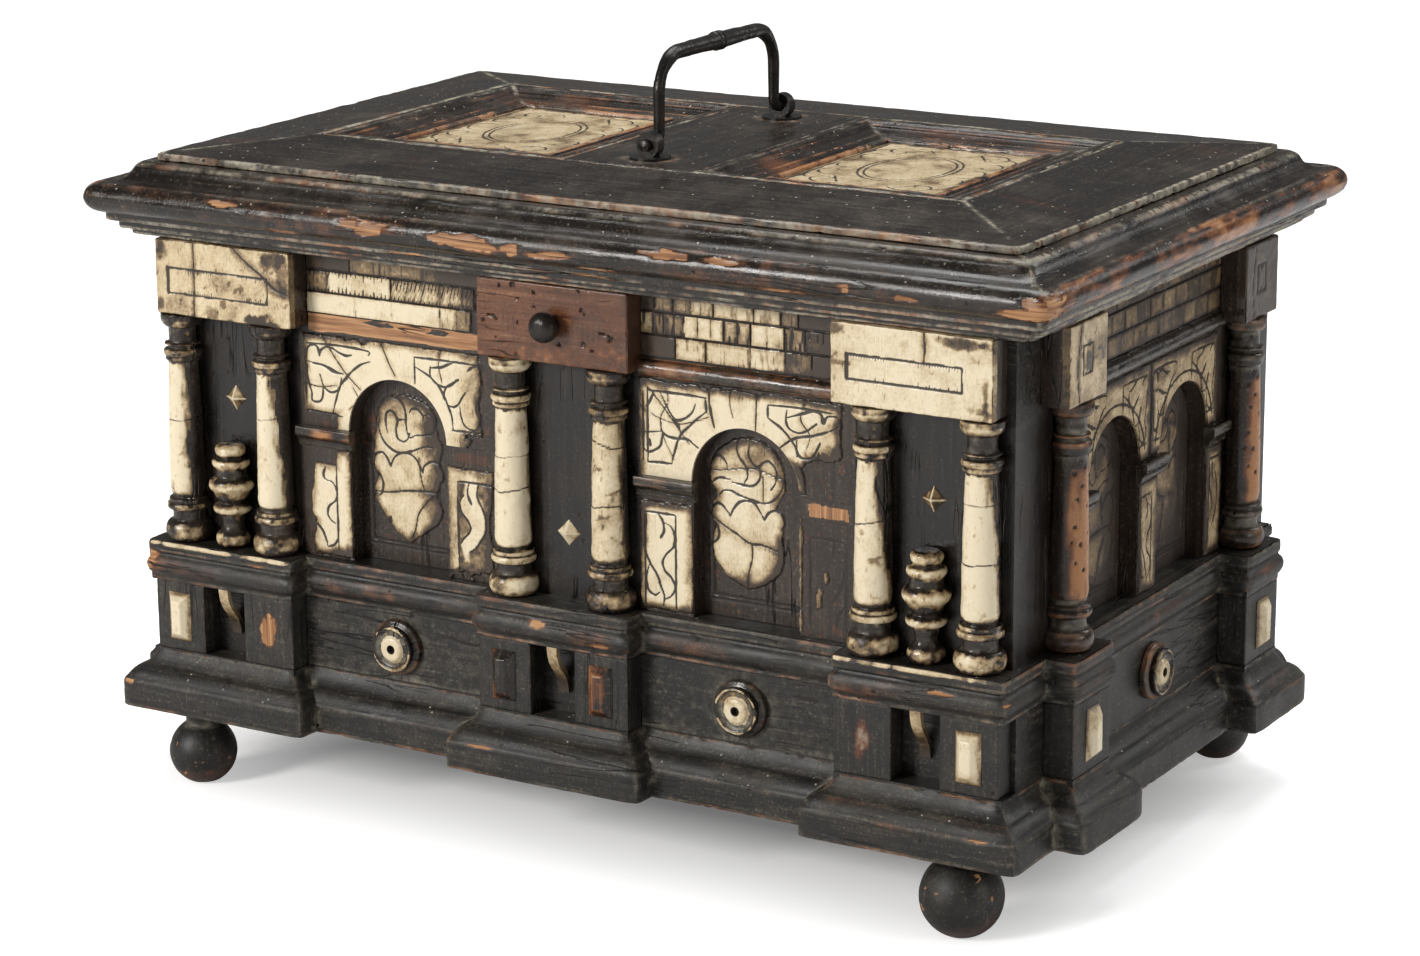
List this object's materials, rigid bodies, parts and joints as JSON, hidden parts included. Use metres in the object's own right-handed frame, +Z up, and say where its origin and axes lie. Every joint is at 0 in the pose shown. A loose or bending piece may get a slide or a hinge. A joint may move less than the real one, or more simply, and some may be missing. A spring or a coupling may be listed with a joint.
{
  "type": "decorative casket",
  "caption": "Hinged casket of ebonised wood faced with bone columns and arcades, with ball feet, a moulded lid, an iron bail handle and a turning catch behind the front knob.",
  "frame": {"origin": "on the ground under the middle of the casket", "axes": "+X to the right along the front, -Y out of the arcaded front, +Z up"},
  "size_m": [0.452, 0.2902, 0.3193],
  "materials": {
    "ebonised_wood": "worn satin",
    "brown_wood": "worn satin",
    "carcass_wood": "matt",
    "bone": "polished, engraved",
    "iron": "forged, dark"
  },
  "bodies": {
    "case": {"floor_board": "carcass_wood", "front_board": "carcass_wood", "back_board": "carcass_wood", "left_end_board": "carcass_wood", "right_end_board": "carcass_wood", "base_front": "ebonised_wood", "base_ends": "ebonised_wood", "pedestal_bases": "ebonised_wood", "pedestal_caps": "ebonised_wood", "front_dies": "ebonised_wood", "end_dies": "ebonised_wood", "bone_lozenges": "bone", "wood_lozenges": "brown_wood", "plinth_front": "ebonised_wood", "plinth_left": "ebonised_wood", "plinth_right": "ebonised_wood", "surbase_front": "ebonised_wood", "surbase_left": "ebonised_wood", "surbase_right": "ebonised_wood", "ball_feet": "ebonised_wood", "boss_discs": "ebonised_wood", "boss_rings": "bone", "scroll_consoles": "bone", "pier_panels": "ebonised_wood", "arcade_front_left": "bone", "arcade_front_right": "bone", "arcade_left_end": "bone", "arcade_right_end": "bone", "niche_cartouches": "bone", "imposts": "brown_wood", "beads": "brown_wood", "frieze_boards": "ebonised_wood", "frieze_plates": "bone", "frieze_blocks_front": "bone", "frieze_blocks_end": "bone", "lock_block": "brown_wood", "columns_front": "bone", "columns_ends": "brown_wood", "urns": "ebonised_wood", "diamond_studs": "bone", "hinge_leaves_lower": "iron", "hinge_pins": "iron"},
    "lid": {"lid_board": "carcass_wood", "cornice_front": "ebonised_wood", "cornice_back": "ebonised_wood", "cornice_left": "ebonised_wood", "cornice_right": "ebonised_wood", "slope_front": "ebonised_wood", "slope_back": "ebonised_wood", "slope_ends": "ebonised_wood", "centre_rail": "ebonised_wood", "panel_frame_left": "ebonised_wood", "panel_frame_right": "ebonised_wood", "bone_panels": "bone", "handle_staples": "iron", "hinge_leaves_upper": "iron", "latch_keeper": "iron"},
    "bail": {"bail_handle": "iron"},
    "latch": {"lock_knob": "iron", "latch_cam": "iron"}
  },
  "joints": [
    {"name": "lid_hinge", "type": "hinge", "parent": "case", "child": "lid", "pos_m": [0, 0.1235, 0.2318], "axis": [-1, 0, 0], "range_deg": [0, 100]},
    {"name": "bail_swing", "type": "hinge", "parent": "lid", "child": "bail", "pos_m": [0, 0, 0.2802], "axis": [0, 1, 0], "range_deg": [-88, 88]},
    {"name": "latch_turn", "type": "hinge", "parent": "case", "child": "latch", "pos_m": [0, -0.1195, 0.2205], "axis": [0, 1, 0], "range_deg": [0, 90]}
  ]
}
